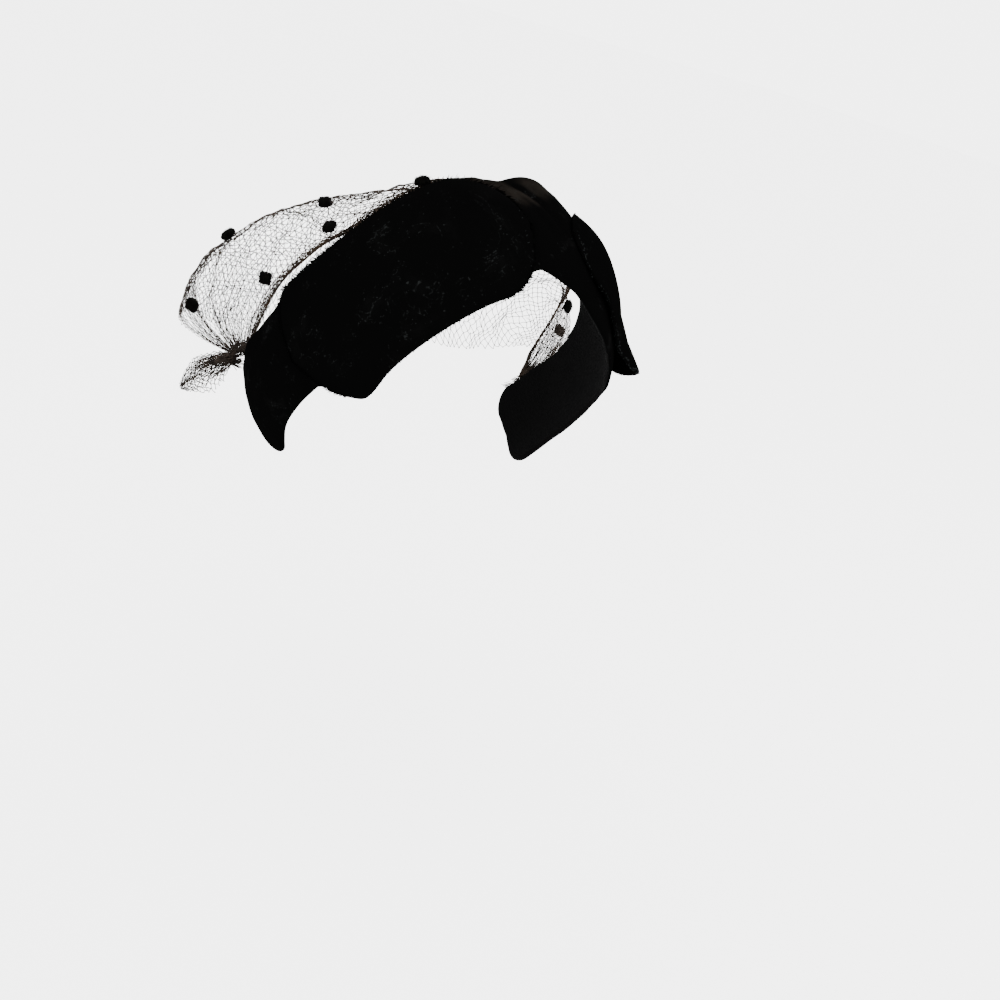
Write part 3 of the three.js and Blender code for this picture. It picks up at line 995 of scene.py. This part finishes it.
@dataclass
class DottedVeil:
    """The puff of diamond net from the band's upper edge to a gather at each side."""

    form: HeadForm
    band: Bandeau
    table: Table = Table(
        ("share", "out", "reach"),
        (
            (0.0, 0, 88),
            (0.3, 38, 80),
            (0.5, 64, 71),
            (0.65, 83, 58),
            (0.78, 97, 44),
            (0.88, 102, 28),
            (0.95, 94, 14),
            (1.0, 81.5, 4),
        ),
    )
    root: Table = Table(
        ("round", "rise"),
        ((0, 0.9), (50, 0.9), (60, 5.0), (70, 8.0), (80, 10.0), (90, 9.5), (100, 6.0), (108, 0.9)),
    )
    root_close: float = 5.0
    root_lift: float = 1.4 * MM
    loose: float = 0.34
    out_late: float = 2.5
    sink: float = 0.36
    billow: float = 0.9 * MM
    clearance: float = 0.9 * MM
    end: float = 110.0
    back_middle: float = 122.0
    back_gather: float = 86.0
    ruffles: float = 9.0
    ruffle_depth: float = 0.6
    gather_back: float = 33.0
    gather_rise: float = 20.0
    strand: float = 0.15 * MM
    knot: float = 0.4
    wander: float = 0.4
    cell_along: float = 3.0 * MM
    cells_across: int = 20
    gather_round: tuple[float, float] = (102, 111)
    gather_strands: int = 150
    cut: tuple[float, float] = (160 * MM, 180 * MM)  # the strands' own surface, because the net is open

    def start_line(self, round_deg: np.ndarray) -> np.ndarray:
        """Where the veil starts: at the band's upper edge, or on the head beside it.

        Args:
            round_deg: angle round the head.

        Returns:
            Points in the form's own frame.
        """
        rise = self.root.at("rise", np.abs(round_deg))
        close = np.clip((rise - 0.9) / self.root_close, 0, 1)
        at_edge = self.band.offset(round_deg, np.full_like(round_deg, 90.0)) - self.band.wall / 2
        off = at_edge + (self.root_lift - at_edge) * close
        return self.form.on(round_deg, self.band.high(round_deg) + rise, off)

    def surface(self, u: np.ndarray, v: np.ndarray, fine: float = 0.0) -> np.ndarray:
        """Points on the veil, in the form's own frame.

        Args:
            u: from the right gather (0) to the left one (1).
            v: from the band (0) back (1).
            fine: depth of extra small ruffles, in millimetres.

        Returns:
            Points of the veil's middle face.
        """
        edge = self.start_line(self.end * (2 * u - 1))
        share = np.abs(2 * u - 1)
        start = np.arctan2(edge[..., 2] - self.gather_rise * MM, self.gather_back * MM - edge[..., 1])
        back = self.back_middle + (self.back_gather - self.back_middle) * smooth_step(share, 0.5, 1)
        angle = start + (np.radians(back) - start) * v
        reach = self.table.at("reach", share)
        ruffle = self.ruffle_depth * np.sin(math.pi * self.ruffles * v) * np.sqrt(share)
        ruffle = ruffle + fine * np.sin(2 * math.pi * (12.5 * v + 0.6 * np.sin(5 * u))) * share**2
        radius = (reach * (1 - self.sink * v * v) + ruffle * np.minimum(1, reach / 40)) * MM
        puffed = np.stack(
            [
                np.sign(u - 0.5) * self.table.at("out", share) * MM,
                self.gather_back * MM - radius * np.cos(angle),
                self.gather_rise * MM + radius * np.sin(angle),
            ],
            -1,
        )
        loose = np.sin(math.pi / 2 * np.minimum(1, v / self.loose))
        shares = np.stack([loose**self.out_late, loose, loose], -1)
        return self.form.clear(edge + (puffed - edge) * shares, self.clearance)

    def even_u(self) -> tuple[np.ndarray, np.ndarray]:
        """Measures the veil along its mid line.

        Returns:
            Arc lengths from the right gather, and the `u` that each length belongs to.
        """
        u = np.linspace(0, 1, 600)
        line = self.surface(u, np.full_like(u, 0.45))
        lengths = np.insert(np.cumsum(np.linalg.norm(np.diff(line, axis=0), axis=1)), 0, 0)
        return lengths, u

    def add_net(
        self,
        parts: MeshParts,
        v_range: tuple[float, float],
        rows: int,
        lift: float,
        seed: int,
        radius: float,
        fine: float,
        jitter: float,
    ) -> None:
        """Adds a sheet of diamond net, strand by strand.

        Args:
            parts: the mesh being gathered.
            v_range: the part of the veil that it covers, from the band back.
            rows: how many diamonds it has across that range.
            lift: how far it floats off the veil's middle face.
            seed: seed of its unevenness.
            radius: the strand's radius.
            fine: depth of the extra small ruffles, in millimetres.
            jitter: how far a knot strays, as a share of a diamond.
        """
        lengths, us = self.even_u()
        columns = int(round(lengths[-1] / self.cell_along))
        rng = np.random.default_rng(seed)
        knots_each_way = 2 * (columns + rows) + 4
        stray = rng.normal(0, jitter, (knots_each_way, knots_each_way, 2))
        sway = SoftNoise(6.0, seed + 1)
        low, high = v_range
        for s, t in diamond_strands(columns, rows):
            knot_a = np.round(s + t).astype(int) + rows + 1
            knot_b = np.round(s - t).astype(int) + rows + 1
            shift = stray[knot_a, knot_b] * (0.5 + 0.5 * np.cos(4 * math.pi * t))[:, None]
            wander = self.wander * sway.at(np.stack([s, t, np.zeros_like(s)], -1))
            s_all = np.clip(s + shift[:, 0] + wander, 0, columns)
            t_all = np.clip(t + shift[:, 1] + 0.5 * wander, 0, rows)
            u = np.interp(s_all / columns * lengths[-1], lengths, us)
            v = low + (high - low) * t_all / rows
            path = self.surface(u, v, fine)
            away = path - np.array([0, self.gather_back * MM, self.gather_rise * MM])
            away[:, 0] = 0
            uneven = 0.7 * SoftNoise(26 * MM, 51).at(path) + 0.5 * SoftNoise(8 * MM, seed).at(path)
            to_gather = np.minimum(u, 1 - u)
            open_net = smooth_step(v, 0.02, 0.2) * smooth_step(to_gather, 0.0, 0.1)
            path = path + unit(away) * (lift + self.billow * uneven * open_net)[:, None]
            drawn = 0.6 + 0.4 * smooth_step(to_gather, 0.0, 0.14)
            knots = 1 + self.knot * np.cos(math.pi * 2 * t) ** 8
            add_tube(parts, self.form.worn(path), radius * knots * drawn)

    def add_cord(self, parts: MeshParts, v: float, spread: float, strands: int, seed: int) -> None:
        """Adds strands bunched into a soft line along the veil, as where net is folded or sewn.

        Args:
            parts: the mesh being gathered.
            v: how far back the line lies.
            spread: how far the strands stray from it, as a share of the way back.
            strands: how many strands run in it.
            seed: seed of their wandering.
        """
        rng = np.random.default_rng(seed)
        for _ in range(strands):
            from_u = rng.uniform(0.0, 0.9)
            u = np.linspace(from_u, min(1.0, from_u + rng.uniform(0.15, 0.6)), 70)
            waves = ((1.0, 23), (0.7, 61), (0.4, 140))
            phase = rng.uniform(0, 2 * math.pi, len(waves))
            wander = sum(high * np.sin(turns * u + start) for (high, turns), start in zip(waves, phase))
            path = self.surface(u, np.clip(v + spread * 0.6 * wander, 0, 1), 0.6)
            path = path * (1 + 0.006 * np.sin(90 * u + phase[1])[:, None])
            add_tube(parts, self.form.worn(path), np.full(len(u), self.strand * rng.uniform(0.6, 1.0)))

    def add_gather(self, parts: MeshParts, side: Side) -> None:
        """Adds the strands drawn together from the puff into one gather, down to the band's edge.

        Args:
            parts: the mesh being gathered.
            side: which of the two gathers.
        """
        rng = np.random.default_rng(31 + side.value)
        steps = 14
        shares = np.array([0.003, 0.2, 0.5, 1.0])
        for _ in range(self.gather_strands):
            round_deg = side.value * rng.uniform(*self.gather_round, 1)
            lat = self.band.high(round_deg) + rng.uniform(-1.0, 1.5)
            off = self.band.offset(round_deg, np.array([90.0])) - rng.uniform(0.0, 1.8) * MM
            reach = shares * rng.uniform(0.03, 0.15)
            u = reach if side is Side.RIGHT else 1 - reach
            spread = rng.uniform(0, 0.8 * self.loose) if rng.uniform() < 0.85 else rng.uniform(self.loose, 1)
            v = np.clip(spread + rng.normal(0, 0.015, 4), 0, 1)
            path = eased_path(np.concatenate([self.form.on(round_deg, lat, off), self.surface(u, v)]), steps)
            path[1:] += rng.normal(0, 0.2 * MM, (steps - 1, 3))
            radii = self.strand * rng.uniform(0.5, 0.9) * np.linspace(1.3, 0.55, steps)
            add_tube(parts, self.form.worn(path), radii)

    def build(self, wardrobe: Wardrobe) -> bpy.types.Object:
        """Makes the net of the puff.

        Args:
            wardrobe: the hat's materials.

        Returns:
            The net's object.
        """
        parts = MeshParts()
        self.add_net(
            parts, (0.0, 1.0), self.cells_across, lift=0.0, seed=11, radius=self.strand, fine=0.3, jitter=0.14
        )
        for side in Side:
            self.add_gather(parts, side)
        net = parts.piece("veil_net", [wardrobe.net])
        return place(net, ["veil"])

    def build_hem(self, wardrobe: Wardrobe) -> bpy.types.Object:
        """Makes the turned-under net along the band and the gathers crowded beside it.

        Args:
            wardrobe: the hat's materials.

        Returns:
            The hem's object.
        """
        parts = MeshParts()
        thin = 0.8 * self.strand
        self.add_net(parts, (0.0, 0.085), 4, lift=-1.3 * MM, seed=23, radius=thin, fine=0.3, jitter=0.35)
        self.add_net(parts, (0.01, 0.07), 4, lift=-0.6 * MM, seed=27, radius=thin, fine=0.5, jitter=0.4)
        self.add_cord(parts, 0.012, spread=0.012, strands=8, seed=24)
        self.add_cord(parts, 0.06, spread=0.05, strands=14, seed=25)
        hem = parts.piece("veil_hem_net", [wardrobe.hem_net])
        return place(hem, [])


@dataclass
class VeilTuft:
    """The loose end of net that stands out beyond one gather."""

    form: HeadForm
    band: Bandeau
    side: Side
    start: tuple[float, float, float] = (82.3, 34.5, 20.4)
    heading: tuple[float, float, float] = (0.52, 0.85, 0.01)
    length: float = 27.0
    strand: float = 0.15 * MM
    knot: float = 0.55
    leaves: int = 2
    bunch: int = 120
    root_round: tuple[float, float] = (104, 118)
    table: Table = Table(
        ("along", "width", "depth"),
        ((0.0, 4.5, 1.8), (0.2, 7.0, 3.0), (0.5, 8.2, 3.4), (0.8, 4.8, 2.2), (1.0, 1.3, 1.0)),
    )

    def leaf(self, a: np.ndarray, b: np.ndarray, layer: float) -> np.ndarray:
        """Points on one leaf of the tuft.

        Args:
            a: share of its length from the gather.
            b: across it, from -1 at its upper edge to 1.
            layer: which leaf, from -1 to 1.

        Returns:
            Points as worn.
        """
        sign = self.side.value
        mirror = np.array([sign, 1, 1])
        heading = unit(mirror * self.heading)
        wide = unit(np.cross(np.array([sign, 0.0, 0.0]), heading)) * -sign
        deep = unit(np.cross(heading, wide))
        wave = np.sin(4.2 * b + 5 * a + 2.3 * layer) * 0.45 + 0.55 * layer
        along = (a * self.length, self.table.at("width", a) * b, self.table.at("depth", a) * wave)
        steps = sum(axis * share[..., None] for axis, share in zip((heading, wide, deep), along))
        return self.form.worn((mirror * self.start + steps) * MM)

    def add_leaves(self, parts: MeshParts, rng: np.random.Generator) -> None:
        """Adds the tuft's layers of net, strand by strand.

        Args:
            parts: the mesh being gathered.
            rng: the source of its unevenness.
        """
        columns, rows = 9, 6
        for layer in np.linspace(-1, 1, self.leaves):
            for s, t in diamond_strands(columns, rows):
                a = np.clip(s / columns + rng.normal(0, 0.014, len(s)), 0, 1)
                b = np.clip(2 * t / rows - 1 + rng.normal(0, 0.07, len(s)), -1.05, 1.2)
                knots = 1 + self.knot * np.cos(math.pi * 2 * t) ** 8
                add_tube(parts, self.leaf(a, b, layer), self.strand * knots)

    def add_bunch(self, parts: MeshParts, rng: np.random.Generator) -> None:
        """Adds the strands drawn together at the gather, which fan out along the tuft.

        Args:
            parts: the mesh being gathered.
            rng: the source of their unevenness.
        """
        steps = 12
        reaches = np.array([0.12, 0.55, 0.8, 1.0])
        spreads = np.array([0.5, 0.8, 0.95, 1.0])
        for _ in range(self.bunch):
            place_along = rng.uniform(0, 1)
            round_deg = self.side.value * np.interp([place_along], (0, 1), self.root_round)
            lift = rng.uniform(0.0, 4.0) * MM
            lat = self.band.high(round_deg) + rng.uniform(-0.5, 2.5)
            off = self.band.offset(round_deg, np.array([90.0])) + lift
            root = self.form.worn(self.form.on(round_deg, lat, off))
            far = 0.12 + 0.88 * rng.uniform(0.0, 1.0) ** 1.8
            b = -1 + 2 * np.clip(0.75 * place_along * (1.2 - far) + rng.normal(0.05, 0.12), 0, 1)
            layer = rng.uniform(-1, 1)
            path = eased_path(np.concatenate([root, self.leaf(reaches * far, b * spreads, layer)]), steps)
            path[1:] += rng.normal(0, 0.3 * MM, (steps - 1, 3))
            add_tube(parts, path, self.strand * rng.uniform(0.55, 1.0) * np.linspace(1.7, 0.6, steps))

    def build(self, wardrobe: Wardrobe) -> bpy.types.Object:
        """Makes the tuft.

        Args:
            wardrobe: the hat's materials.

        Returns:
            The tuft's object.
        """
        rng = np.random.default_rng(40 + self.side.value)
        parts = MeshParts()
        self.add_leaves(parts, rng)
        self.add_bunch(parts, rng)
        side = self.side.name.lower()
        tuft = parts.piece(f"net_tuft_{side}", [wardrobe.net])
        return place(tuft, [f"veil_tuft_{side}"])


@dataclass
class ChenilleDot:
    """A square tuft of chenille sewn to the net, placed where its CAD node is."""

    node: str
    seed: int
    fibres: int = 420
    fibre_length: float = 1.0 * MM
    fibre_root: float = 0.09 * MM
    steps: int = 9
    rough: float = 0.12 * MM

    def build(self, wardrobe: Wardrobe) -> bpy.types.Object:
        """Makes the dot: a rounded square pad covered in short fibres.

        Args:
            wardrobe: the hat's materials.

        Returns:
            The dot's object.
        """
        rng = np.random.default_rng(self.seed)
        node = bpy.data.objects[self.node]
        world = np.array([node.matrix_world @ v.co for v in node.data.vertices])
        centre = world.mean(axis=0)
        spread = world - centre
        normal = np.linalg.svd(spread, full_matrices=False)[2][2]
        wide = self.square_axes(spread, normal)
        half = np.abs(spread @ wide[0]).max()
        thick = np.abs(spread @ normal).max()
        axes = np.array([wide[0] * half, wide[1] * half, normal * thick])
        parts = MeshParts()
        self.add_pad(parts, rng, centre, axes)
        self.add_fibres(parts, rng, centre, axes)
        dot = parts.piece(f"chenille_{self.node}", [wardrobe.chenille])
        return place(dot, [self.node])

    def add_pad(
        self, parts: MeshParts, rng: np.random.Generator, centre: np.ndarray, axes: np.ndarray
    ) -> None:
        """Adds the pad's two domed faces.

        Args:
            parts: the mesh being gathered.
            rng: the source of its roughness.
            centre: the dot's middle.
            axes: its half width, half length and half thickness, as vectors.
        """
        ticks = np.sin(np.linspace(-math.pi / 2, math.pi / 2, self.steps))
        a, b = np.meshgrid(ticks, ticks, indexing="ij")
        dome = self.dome(a, b)
        number = np.arange(self.steps**2).reshape(self.steps, self.steps)
        corners = [number[:-1, :-1], number[1:, :-1], number[1:, 1:], number[:-1, 1:]]
        faces = np.stack(corners, -1).reshape(-1, 4)
        for sign in (1, -1):
            pad = centre + np.stack([a * 0.92, b * 0.92, sign * dome * 1.4], -1) @ axes
            pad = pad + self.rough * rng.normal(size=(*a.shape, 1)) * dome[..., None] * unit(axes[2])
            parts.add(pad, faces if sign > 0 else faces[:, ::-1])

    def add_fibres(
        self, parts: MeshParts, rng: np.random.Generator, centre: np.ndarray, axes: np.ndarray
    ) -> None:
        """Adds the short fibres that stand out of the pad.

        Args:
            parts: the mesh being gathered.
            rng: the source of their places and directions.
            centre: the dot's middle.
            axes: its half width, half length and half thickness, as vectors.
        """
        p, q = rng.uniform(-1, 1, (2, self.fibres))
        sign = rng.choice([1, 1, 1, -1], self.fibres)
        dome = self.dome(p, q)
        root = centre + np.stack([p * 0.9, q * 0.9, sign * dome * 1.3], -1) @ axes
        out = np.stack([p**3, q**3, sign * 0.6 * dome], -1) @ unit(axes)
        out = unit(out + 0.45 * rng.normal(size=(self.fibres, 3)))
        tips = root + out * (self.fibre_length * rng.uniform(0.5, 1.1, self.fibres))[:, None]
        ring = ring_round(out, HAIR_HINT)
        block = np.concatenate([root[:, None] + self.fibre_root * ring, tips[:, None]], axis=1)
        base = np.arange(self.fibres)[:, None, None] * block.shape[1]
        parts.add(block, (base + np.array([[0, 1, 3], [1, 2, 3], [2, 0, 3]])).reshape(-1, 3))

    @staticmethod
    def dome(a: np.ndarray, b: np.ndarray) -> np.ndarray:
        """Height of the pad's rounded square at places from -1 to 1."""
        return np.sqrt(np.clip((1 - a**6) * (1 - b**6), 0, 1))

    @staticmethod
    def square_axes(spread: np.ndarray, normal: np.ndarray) -> np.ndarray:
        """Finds the two side directions of a square block.

        Args:
            spread: the block's corners, from its centre.
            normal: the direction of its thickness.

        Returns:
            The two directions.
        """
        flat = spread - (spread @ normal)[:, None] * normal
        corner = flat[0]
        other = np.cross(normal, corner)
        return unit(np.stack([corner + other, corner - other]))


# ---- Stage -------------------------------------------------------------------


@dataclass(frozen=True)
class Studio:
    """A plain pale floor, soft light and the camera."""

    eye: tuple[float, float, float] = (-0.31712, -0.46502, 0.08214)
    heading: float = 38.454
    pitch: float = -21.141
    roll: float = -17.016
    lens: float = 46.8
    floor_z: float = -0.34
    floor_colour: str = "fafafa"

    def camera(self) -> None:
        """Sets the camera, turned with the hat's slant on the head."""
        data = bpy.data.cameras.new("studio_camera")
        data.lens = self.lens
        data.sensor_width = 36
        data.clip_start = 0.02
        thing = bpy.data.objects.new("studio_camera", data)
        h, p, r = (math.radians(x) for x in (self.heading, self.pitch, self.roll))
        look = Vector((math.sin(h) * math.cos(p), math.cos(h) * math.cos(p), math.sin(p)))
        level = look.cross(Vector((0, 0, 1))).normalized()
        rise = level.cross(look)
        right = level * math.cos(r) - rise * math.sin(r)
        up = rise * math.cos(r) + level * math.sin(r)
        turn = Matrix((right, up, -look)).transposed().to_4x4()
        thing.matrix_world = Matrix.Translation(self.eye) @ turn
        bpy.context.scene.collection.objects.link(thing)
        bpy.context.scene.camera = thing

    def floor(self) -> None:
        """Lays the pale floor."""
        material, tree = blank_material("matt_pale_board")
        inputs = {"Base Color": linear_colour(self.floor_colour), "Roughness": 0.9, "Specular IOR Level": 0.1}
        shader = add_node(tree, "ShaderNodeBsdfPrincipled", inputs=inputs)
        add_node(tree, "ShaderNodeOutputMaterial", inputs={"Surface": shader.outputs["BSDF"]})
        half = 14.0
        corners = [(-half, -half), (half, -half), (half, half), (-half, half)]
        mesh = bpy.data.meshes.new("studio_floor")
        mesh.from_pydata([(x, y, self.floor_z) for x, y in corners], [], [(0, 1, 2, 3)])
        mesh.materials.append(material)
        ground = bpy.data.objects.new("studio_floor", mesh)
        bpy.context.scene.collection.objects.link(ground)

    def lights(self) -> None:
        """Hangs the soft lights and sets the surroundings' glow."""
        world = bpy.data.worlds.new("pale_room")
        world.use_nodes = True
        tree = world.node_tree
        tree.nodes.clear()
        glow = add_node(tree, "ShaderNodeBackground", inputs={"Color": (1, 1, 1, 1), "Strength": 5.0})
        add_node(tree, "ShaderNodeOutputWorld", inputs={"Surface": glow.outputs["Background"]})
        bpy.context.scene.world = world
        for name, where, aim, size, power in (
            ("softbox_high", (-0.5, -0.5, 1.3), (0, 0, -0.05), 0.9, 14.0),
            ("softbox_side", (1.1, -0.6, 0.5), (0, 0, -0.05), 0.8, 5.0),
        ):
            lamp = bpy.data.lights.new(name, "AREA")
            lamp.shape = "SQUARE"
            lamp.size = size
            lamp.energy = power
            thing = bpy.data.objects.new(name, lamp)
            thing.location = where
            thing.rotation_euler = (Vector(aim) - Vector(where)).to_track_quat("-Z", "Y").to_euler()
            bpy.context.scene.collection.objects.link(thing)


# ---- The hat -----------------------------------------------------------------


@dataclass
class BandeauHat:
    """The whole hat: band, wings with their pile, veil, tufts and dots."""

    wardrobe: Wardrobe
    form: HeadForm = field(default_factory=HeadForm)

    def build(self, nodes: dict[str, bpy.types.Object]) -> None:
        """Makes every piece in order.

        Args:
            nodes: the CAD nodes by name.
        """
        band = Bandeau(self.form)
        velvet = band.build(self.wardrobe)
        wings = [
            VelvetWing(
                self.form,
                band,
                Side.RIGHT,
                front=3.5,
                rear=79,
                front_low=Corner(13, 16),
                front_high=Corner(24, 24),
                rear_low=Corner(4, 4),
                rear_high=Corner(6, 2.5),
                table=Table(
                    ("along", "low", "high", "belly", "lip"),
                    (
                        (0.0, -19.5, 28, 1.5, 1.0),
                        (0.2, -22.3, 27, 4.0, 1.5),
                        (0.43, -26.6, 22, 5.0, 1.5),
                        (0.68, -31, 16, 4.0, 2.5),
                        (0.82, -34, 14, 2.5, 4.0),
                        (0.9, -29.5, 13, 2.0, 5.0),
                        (1.0, -16, 12.5, 1.5, 6.0),
                    ),
                ),
                seed=7,
                cut=(78 * MM, 98 * MM),
                settle=0.2,
                pile=2.5 * MM,
            ),
            VelvetWing(
                self.form,
                band,
                Side.LEFT,
                front=16,
                rear=76,
                front_low=Corner(14, 17),
                front_high=Corner(26, 16),
                rear_low=Corner(15, 7),
                rear_high=Corner(8, 4),
                table=Table(
                    ("along", "low", "high", "belly", "lip"),
                    (
                        (0.0, -11.5, 19.5, 0.8, 0.2),
                        (0.21, -13, 21.6, 3.4, 0.4),
                        (0.39, -20, 20, 2.3, 0.3),
                        (0.5, -21.8, 18, 0.2, 0.3),
                        (0.64, -22, 16, 0.0, 5.0),
                        (0.8, -19, 15, 0.8, 10.8),
                        (1.0, -13.5, 14, 1.5, 5.0),
                    ),
                ),
                seed=8,
                cut=(58 * MM, 78 * MM),
                settle=0.85,
                pile=0.8 * MM,
            ),
        ]
        for wing in wings:
            cloth = wing.build(self.wardrobe)
            front_stand = 1.0 if wing.side is Side.RIGHT else 0.0
            spread = wing.cloth * 0.4
            PileFringe(wing.pile, seed=wing.seed).build(
                f"pile_{wing.name}", wing.border(front_stand), spread, self.wardrobe.wing_velvet
            )
            # pale bristles along the front and lower edge: a painted highlight of the cut pile
            PileFringe(0.9 * MM, 0.2 * MM, 2.2, wing.seed + 20).build(
                f"pile_tips_{wing.name}", wing.lower_edge(), spread, self.wardrobe.pile_tips
            )
        veil = DottedVeil(self.form, band)
        net = veil.build(self.wardrobe)
        on_net = [veil.build_hem(self.wardrobe)]
        on_net += [VeilTuft(self.form, band, side).build(self.wardrobe) for side in Side]
        for i, name in enumerate(sorted(n for n in nodes if n.startswith("dot_"))):
            ChenilleDot(name, seed=60 + i).build(self.wardrobe)


def main() -> None:
    """Builds the scene: camera and stage first, then the hat piece by piece."""
    logging.basicConfig(level=logging.INFO, format="%(name)s: %(message)s")
    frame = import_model()
    studio = Studio()
    studio.camera()
    studio.floor()
    studio.lights()
    BandeauHat(Wardrobe.made()).build(frame["nodes"])


if __name__ == "__main__":
    main()
